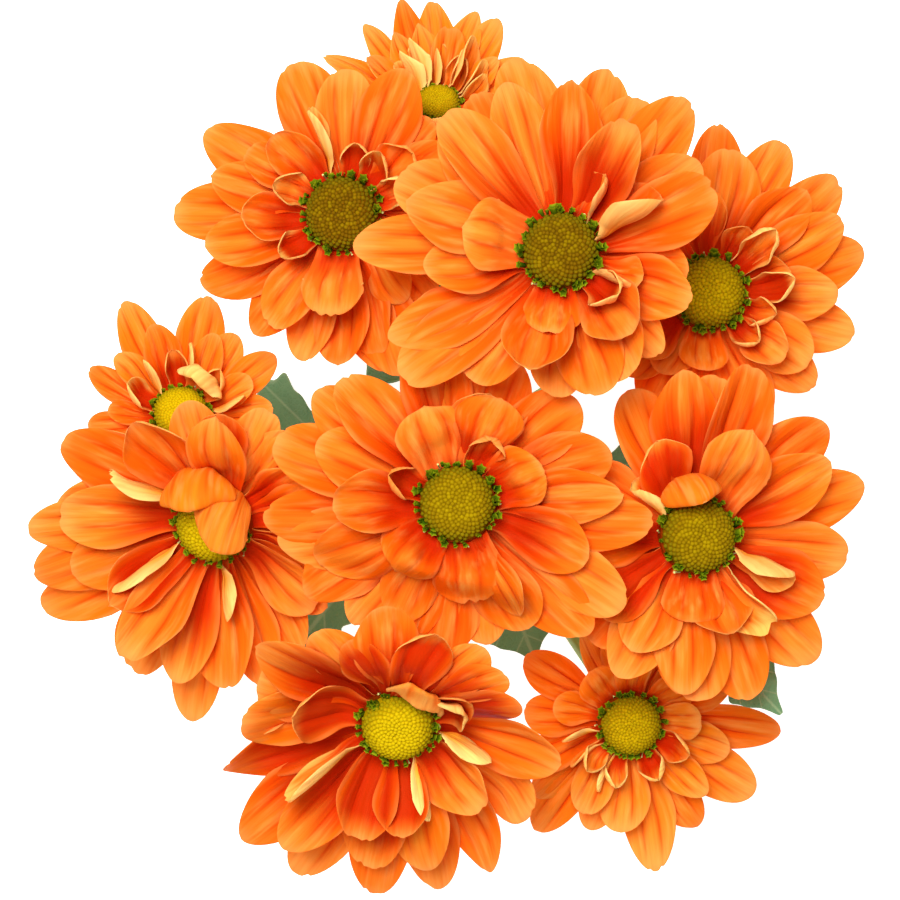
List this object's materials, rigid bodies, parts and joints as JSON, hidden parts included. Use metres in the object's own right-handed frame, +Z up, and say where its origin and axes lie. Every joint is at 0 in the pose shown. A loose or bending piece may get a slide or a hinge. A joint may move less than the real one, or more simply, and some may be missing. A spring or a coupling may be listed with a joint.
{
  "type": "cut spray of daisy-form chrysanthemum",
  "caption": "Cut branching spray of orange daisy-form chrysanthemum flowers that stands face up on its stem end and drooping leaves, for table, vase or garden scenes.",
  "frame": {"origin": "on the surface that the spray rests on, below the middle of its bounding box and within a millimetre of the axis of the stem's cut foot", "axes": "+Z up, the way that the stem grows and the flowers face; seen from above, as in the picture, +X is to the right and +Y is towards the picture's top edge"},
  "size_m": [0.1588, 0.1736, 0.1165],
  "materials": {
    "petal_orange": "soft satin petal, red at the root and paler at the rim, pale yellow on the back",
    "disc_green": "dome of packed olive and yellow florets",
    "stem_green": "ribbed pale green stalk with fine down",
    "leaf_green": "matt grey-green blade with sunken veins"
  },
  "bodies": {
    "root": {"upper_mid_petals": "petal_orange", "low_petals": "petal_orange", "centre_petals": "petal_orange", "right_petals": "petal_orange", "left_petals": "petal_orange", "upper_left_petals": "petal_orange", "upper_right_petals": "petal_orange", "lower_right_petals": "petal_orange", "left_small_petals": "petal_orange", "top_petals": "petal_orange", "upper_mid_disc": "disc_green", "low_disc": "disc_green", "centre_disc": "disc_green", "right_disc": "disc_green", "left_disc": "disc_green", "upper_left_disc": "disc_green", "upper_right_disc": "disc_green", "lower_right_disc": "disc_green", "left_small_disc": "disc_green", "top_disc": "disc_green", "stem": "stem_green", "leaf_1": "leaf_green", "leaf_2": "leaf_green", "leaf_3": "leaf_green", "leaf_4": "leaf_green", "leaf_5": "leaf_green", "leaf_6": "leaf_green", "bract_1": "leaf_green", "bract_2": "leaf_green"}
  },
  "joints": []
}
